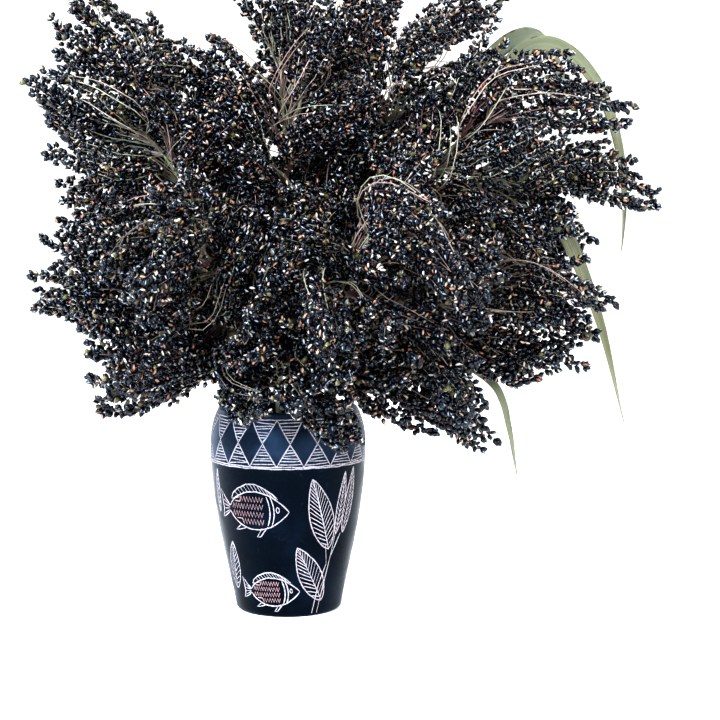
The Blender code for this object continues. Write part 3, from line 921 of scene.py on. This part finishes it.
def carve_sprig(angle, rng, out):
    """Long leaves on two stems that rise from the foot."""
    stems = (((0.02, 0.002), (0.10, 0.022), (0.16, 0.040)), ((-0.08, 0.002), (0.0, 0.022), (0.10, 0.036)),
             ((0.10, 0.036), (0.05, 0.049)), ((0.16, 0.040), (0.20, 0.056)), ((0.16, 0.040), (0.30, 0.056)))
    leaves = ((-0.06, 0.0700, 0.30, 51, 17), (-0.17, 0.0295, 0.48, 43, 15.5),
              (0.25, 0.0765, -0.10, 42, 6.5), (0.40, 0.0775, -0.12, 44, 8))
    for stem in stems:
        scratch([(angle + a, z) for a, z in stem], LINE_WIDTH, rng, out)
    for a, *leaf in leaves:
        carve_leaf(angle + a, *leaf, rng, out)


def carve_vase(mat):
    """The band and the figures: each at its angle in degrees, with its height, turn and size."""
    rng = np.random.default_rng(LOOKS_SEED)
    out = []
    carve_band(rng, out)
    for figure, angle, *rest in (
        (carve_fish, -24.5, 0.0730, 0.0, 1.14), (carve_fish, -14, 0.0175, 0.02, 0.88), (carve_sprig, 32),
        (carve_leaf, -62.5, 0.0830, -0.06, 30, 5), (carve_leaf, -55, 0.0330, -0.16, 34, 11),
        (carve_fish, 152, 0.0700, -0.04, 1.10), (carve_fish, 172, 0.0225, 0.05, 0.90), (carve_sprig, -128),
        (carve_leaf, 102, 0.0700, 0.10, 42, 12), (carve_leaf, 108, 0.0270, -0.20, 36, 10),
    ):
        figure(math.radians(angle), *rest, rng, out)
    verts, faces, values = joined(out)
    make_piece("vase_carving", verts, faces, mat, "carved_stone", chance=values)


def make_leaf(name, line, half_width, rng, mat):
    """A dry blade: a shallow fold, waved edges, a slow twist and a long drawn-out tip."""
    breadth, tone = BLADES[name]
    fine = smooth_through(line, LEAF_ROWS)
    t = tangents(fine)
    verts, blade = [], []
    wave = rng.uniform(0, 6)
    for i, p in enumerate(fine):
        u = i / (len(fine) - 1)
        across = unit(np.cross(t[i], LEAF_FACING))
        lift = np.cross(across, t[i])
        twist = LEAF_TWIST * math.sin(LEAF_TWIST_TURNS * u + wave)
        across, lift = (across * math.cos(twist) + lift * math.sin(twist),
                        lift * math.cos(twist) - across * math.sin(twist))
        shape = min(1.0, LEAF_ROOT + LEAF_SWELL * u)
        width = breadth * half_width * shape * (1 - u**LEAF_TAPER) + LEAF_EDGE
        for skin in (LEAF_SKIN, -LEAF_SKIN):
            for s in np.linspace(-1, 1, LEAF_COLUMNS):
                ripple = LEAF_RIPPLE * s * abs(s) * math.sin(LEAF_WAVES * u + wave + LEAF_WAVE_LAG * s)
                rise = LEAF_FOLD_DEPTH * width * abs(s) + ripple + skin * (LEAF_MIDDLE - abs(s))
                verts.append(p + across * s * width + lift * rise)
                blade.append((s, u, tone))
    faces, n = [], LEAF_COLUMNS
    for a in range(0, (len(fine) - 1) * 2 * n, 2 * n):
        b = a + 2 * n
        for j in range(n - 1):
            faces.append((a + j, a + j + 1, b + j + 1, b + j))
            faces.append((a + n + j + 1, a + n + j, b + n + j, b + n + j + 1))
        faces.append((a + n, a, b, b + n))
        faces.append((a + n - 1, a + 2 * n - 1, b + 2 * n - 1, b + n - 1))
    make_piece("blade_" + name.removeprefix("leaf_"), verts, faces, mat, "dry_leaf", name, blade=blade)


# Materials


class Shader:
    """A material's node tree, with short calls to add and join its nodes."""

    def __init__(self, name, roughness, specular=0.5, tint=(1, 1, 1)):
        self.mat = bpy.data.materials.new(name)
        self.mat.use_nodes = True
        self.tree = self.mat.node_tree
        self.surface = self.tree.nodes["Principled BSDF"]
        self.give("Roughness", roughness)
        self.give("Specular IOR Level", specular)
        self.give("Specular Tint", tint)

    def add(self, kind, **settings):
        node = self.tree.nodes.new(kind)
        for key, value in settings.items():
            if key in node.inputs:
                node.inputs[key].default_value = value
            else:
                setattr(node, key, value)
        return node

    def feed(self, socket, value):
        """Gives a socket a number, a colour or another node's output."""
        if isinstance(value, (int, float)):
            socket.default_value = value
        elif isinstance(value, tuple):
            socket.default_value = (*value, 1)
        else:
            self.tree.links.new(value, socket)

    def give(self, name, value):
        """Feeds one of the surface's own sockets."""
        self.feed(self.surface.inputs[name], value)

    def attribute(self, name):
        return self.add("ShaderNodeAttribute", attribute_name=name).outputs["Vector"]

    def place(self):
        return self.add("ShaderNodeTexCoord").outputs["Object"]

    def parts(self, vector):
        split = self.add("ShaderNodeSeparateXYZ")
        self.feed(split.inputs[0], vector)
        return split.outputs

    def math(self, operation, a, b=0.0):
        node = self.add("ShaderNodeMath", operation=operation)
        self.feed(node.inputs[0], a)
        self.feed(node.inputs[1], b)
        return node.outputs[0]

    def times(self, a, b):
        return self.math("MULTIPLY", a, b)

    def plus(self, a, b):
        return self.math("ADD", a, b)

    def band(self, value, low, painted_sheen_band, out_low=0.0, out_high=1.0):
        """Runs smoothly from one number to another as the value goes from low to high."""
        ends = {"From Min": low, "From Max": painted_sheen_band, "To Min": out_low, "To Max": out_high}
        node = self.add("ShaderNodeMapRange", interpolation_type="SMOOTHSTEP", **ends)
        self.feed(node.inputs["Value"], value)
        return node.outputs[0]

    def ramp(self, value, *stops):
        """A colour that runs through the stops: each a value, then red, green and blue."""
        node = self.add("ShaderNodeValToRGB")
        elements = node.color_ramp.elements
        while len(elements) < len(stops):
            elements.new(0.5)
        for element, (at, *colour) in zip(elements, stops):
            element.position = at
            element.color = (*colour, 1)
        self.feed(node.inputs[0], value)
        return node.outputs[0]

    def mix(self, share, a, b, blend="MIX"):
        node = self.add("ShaderNodeMix", data_type="RGBA", blend_type=blend)
        for i, value in ((0, share), (6, a), (7, b)):
            self.feed(node.inputs[i], value)
        return node.outputs[2]

    def noise(self, scale, detail=2.0, stretch=(1, 1, 1), where=None):
        """Noise laid out in space, or on a piece's own coordinates."""
        mapping = self.add("ShaderNodeMapping", Scale=stretch)
        self.feed(mapping.inputs["Vector"], where or self.place())
        node = self.add("ShaderNodeTexNoise", Scale=scale, Detail=detail)
        self.feed(node.inputs["Vector"], mapping.outputs[0])
        return node.outputs[0]

    def bump(self, height, strength, distance):
        node = self.add("ShaderNodeBump", Strength=strength, Distance=distance)
        self.feed(node.inputs["Height"], height)
        self.give("Normal", node.outputs[0])


def seed_material():
    """Glossy black glumes, and at the tip of about half of them the tan grain shows; on the back of some
    others sits a small painted bluish-white highlight.
    """
    s = Shader("black_glumes", 0.2, 0.30, (0.88, 0.94, 1.0))
    x, y, z = s.parts(s.attribute("local"))
    first, second, third = s.parts(s.attribute("chance"))
    glume = s.ramp(first, (0.0, 0.0008, 0.0012, 0.003), (0.70, 0.002, 0.0026, 0.005),
                   (0.90, 0.006, 0.005, 0.005), (0.955, 0.026, 0.013, 0.008),
                   (0.975, 0.050, 0.040, 0.015), (1.0, 0.110, 0.095, 0.040))
    grain = s.ramp(third, (0.0, 0.22, 0.075, 0.032), (0.30, 0.29, 0.165, 0.095),
                   (0.6, 0.34, 0.275, 0.205), (1.0, 0.38, 0.365, 0.34))
    wide = s.times(s.times(y, y), 7.0)
    rise = s.math("SUBTRACT", z, 0.66)
    tall = s.times(rise, rise)
    inside = s.math("SUBTRACT", 1.0, s.plus(wide, s.times(tall, 9.0)))
    inside = s.plus(inside, s.times(s.noise(700.0), 0.15))
    shows = s.times(s.band(x, 0.02, 0.16), s.band(second, 0.52, 0.60))
    patch = s.times(s.band(inside, 0.10, 0.30), shows)
    # Painted highlight: a small bluish-white spot near the tip, on the back of some seeds, coloured in to
    # stand for the glumes' shine
    painted_glint_spot = s.math("SUBTRACT", 1.0, s.plus(s.times(tall, 14.0), s.times(wide, 2.0)))
    painted_glint = s.times(s.band(x, -0.05, -0.2), s.band(second, 0.42, 0.34))
    painted_glint = s.times(s.band(painted_glint_spot, 0.1, 0.4), painted_glint)
    s.give("Base Color", s.mix(patch, s.mix(painted_glint, glume, (0.19, 0.215, 0.245)), grain))
    s.give("Roughness", s.band(patch, 0.0, 1.0, 0.17, 0.5))
    s.bump(s.noise(1200.0), 0.15, 0.0004)
    return s.mat


def stalk_material():
    """Straw, green and reddish stalks, and greener culms."""
    s = Shader("stalks", 0.60)
    first, second, culm = s.parts(s.attribute("chance"))
    fine = s.ramp(first, (0.0, 0.34, 0.30, 0.21), (0.35, 0.24, 0.23, 0.15), (0.55, 0.28, 0.22, 0.17),
                  (0.80, 0.23, 0.14, 0.12), (1.0, 0.15, 0.055, 0.055))
    thick = s.ramp(second, (0.0, 0.12, 0.16, 0.05), (1.0, 0.26, 0.26, 0.13))
    streaks = s.band(s.noise(260.0, 4.0, (1, 1, 0.15)), 0.35, 0.70, 0.72, 1.12)
    grey = s.add("ShaderNodeCombineColor")
    for socket in grey.inputs[:3]:
        s.feed(socket, streaks)
    s.give("Base Color", s.mix(1.0, s.mix(culm, fine, thick), grey.outputs[0], "MULTIPLY"))
    s.bump(s.noise(900.0, 3.0, (1, 1, 0.2)), 0.3, 0.0003)
    return s.mat


def stone_material():
    """Dark blue-black polished stone with faint clouds, a painted blue sheen round the band and fine
    turning marks.
    """
    s = Shader("dark_stone", 0.30, 0.085, (0.40, 0.65, 1.0))
    clouds = s.ramp(s.noise(30.0, 5.0), (0.35, 0.0006, 0.0010, 0.0018), (0.55, 0.0012, 0.0022, 0.0042),
                    (0.78, 0.0035, 0.0075, 0.015))
    specks = s.band(s.noise(420.0, 3.0), 0.62, 0.74)
    skin = s.mix(s.times(specks, 0.15), clouds, (0.03, 0.035, 0.05))
    # Painted sheen: from just above the belly up to the rim, round the band, the stone is coloured bluer in
    # cloudy patches, standing for light reflected from above
    painted_sheen_band = s.band(s.parts(s.place())[2], 0.098, 0.110)
    painted_sheen_clouds = s.band(s.noise(38.0, 3.0), 0.35, 0.65, 0.35, 1.0)
    s.give("Base Color", s.mix(s.times(painted_sheen_band, painted_sheen_clouds), skin, (0.016, 0.027, 0.043)))
    s.give("Roughness", s.band(s.noise(60.0, 5.0), 0.3, 0.7, 0.22, 0.36))
    s.bump(s.noise(300.0, 2.0, (0.05, 0.05, 3.0)), 0.12, 0.0004)
    return s.mat


def carving_material():
    """The paler stone under the skin, bared by the cut lines."""
    s = Shader("cut_lines", 0.85)
    first, blush, _ = s.parts(s.attribute("chance"))
    pale = s.ramp(first, (0.0, 0.29, 0.235, 0.24), (1.0, 0.33, 0.315, 0.32))
    worn = s.band(s.noise(850.0, 3.0), 0.30, 0.55)
    pale = s.mix(blush, pale, (0.33, 0.19, 0.18))
    s.give("Base Color", s.mix(worn, (0.14, 0.115, 0.125), pale))
    return s.mat


def leaf_material():
    """Dry olive-grey blades with parallel veins, browned edges and a pale tip."""
    s = Shader("dry_blades", 0.58)
    blade = s.attribute("blade")
    across, along, tone = s.parts(blade)
    body = s.ramp(tone, (0.0, 0.074, 0.081, 0.033), (0.5, 0.102, 0.107, 0.058), (1.0, 0.167, 0.174, 0.116))
    streaks = s.noise(1.0, 3.0, (17.0, 2.2, 5.0), blade)
    veins = s.math("SINE", s.times(across, 58.0))
    out = s.math("ABSOLUTE", across)
    edge = s.plus(out, s.times(s.noise(1.0, 2.0, (2.4, 26.0, 3.0), blade), 1.1))
    for share, colour in (
        (s.band(streaks, 0.42, 0.72, 0.0, 0.75), (0.140, 0.133, 0.072)),
        (s.band(streaks, 0.46, 0.28, 0.0, 0.70), (0.037, 0.043, 0.012)),
        (s.band(veins, 0.2, 1.0, 0.0, 0.25), (0.124, 0.124, 0.066)),
        (s.times(s.band(out, 0.03, 0.10, 1.0, 0.0), 0.45), (0.155, 0.155, 0.094)),
        (s.band(edge, 1.50, 1.62), (0.043, 0.028, 0.012)),
        (s.band(s.plus(along, s.times(streaks, 0.3)), 0.98, 1.16), (0.167, 0.167, 0.105)),
    ):
        body = s.mix(share, body, colour)
    s.give("Base Color", body)
    s.bump(s.plus(veins, streaks), 0.35, 0.0004)
    return s.mat


def floor_material():
    s = Shader("pale_floor", 0.75)
    s.give("Base Color", s.ramp(s.noise(3.0), (0.0, 0.93, 0.93, 0.93), (1.0, 0.95, 0.95, 0.95)))
    return s.mat


# Stage


def make_light(name, place, target, size, power, colour):
    light = bpy.data.lights.new(name, "AREA")
    light.shape = "RECTANGLE"
    light.size, light.size_y = size
    light.energy = power
    light.color = colour
    obj = add_object(name, light)
    obj.location = place
    obj.rotation_mode = "QUATERNION"
    obj.rotation_quaternion = (Vector(target) - Vector(place)).to_track_quat("-Z", "Y")


def make_stage():
    scene = bpy.context.scene
    mesh = bpy.data.meshes.new("floor")
    corners = [(x * FLOOR_HALF, y * FLOOR_HALF, 0) for x, y in ((-1, -1), (1, -1), (1, 1), (-1, 1))]
    mesh.from_pydata(corners, [], [(0, 1, 2, 3)])
    mesh.materials.append(floor_material())
    floor = add_object("floor", mesh)
    floor.location.z = -FLOOR_DROP

    scene.world = bpy.data.worlds.new("studio")
    scene.world.use_nodes = True
    background = scene.world.node_tree.nodes["Background"]
    background.inputs["Color"].default_value = (1, 1, 1, 1)
    background.inputs["Strength"].default_value = WORLD_STRENGTH
    for name, light in LIGHTS.items():
        make_light(name, *light)
    scene.view_settings.view_transform = "Standard"
    scene.view_settings.look = "High Contrast"

    camera = bpy.data.cameras.new("camera")
    camera.lens, camera.sensor_width = CAMERA_LENS, CAMERA_SENSOR
    camera.clip_start, camera.clip_end = CAMERA_CLIP
    scene.camera = add_object("camera", camera)
    scene.camera.location = CAMERA_PLACE
    scene.camera.rotation_euler = (math.radians(90 - CAMERA_PITCH), 0, 0)


def main():
    mats = {"seed": seed_material(), "stalk": stalk_material()}
    slots = slots_round_the_mouth()
    feet, axes, sprays, owner = {}, {}, [], []
    rng = random.Random(RANDOM_SEED)
    for i, (name, tip, pitch) in enumerate(HEADS):
        feet[name] = culm_points(name, slots[name])[0]
        axes[name] = head_axis(name, tip, pitch, slots[name])
        sprays += head_sprays(axes[name], rng)
        owner += [i] * SPRAYS_PER_HEAD
    leaves = leaf_lines(axes)
    fixed = [(axes[h[0]][: RACHIS_LAST + 1], CULM_RADIUS + STEM_SLACK, i) for i, h in enumerate(HEADS)]
    for name, _, _, half_width, _ in LEAVES:
        fixed.append((smooth_through(leaves[name], LEAF_STEPS * 4), half_width, -1))
    points = np.vstack([line for line, _, _ in fixed])
    radii, owners = (np.concatenate([np.full(len(f[0]), f[k]) for f in fixed]) for k in (1, 2))
    lines = push_apart(sprays, np.array(owner), (points, radii, owners))

    fine = np.random.default_rng(LOOKS_SEED)
    for i, name in enumerate(axes):
        own = lines[i * SPRAYS_PER_HEAD : (i + 1) * SPRAYS_PER_HEAD]
        dress_head(name, feet[name], axes[name], own, fine, mats)
    blades = leaf_material()
    for name, _, _, half_width, _ in LEAVES:
        make_leaf(name, leaves[name], half_width, fine, blades)
    make_vase(stone_material())
    carve_vase(carving_material())
    make_stage()


main()
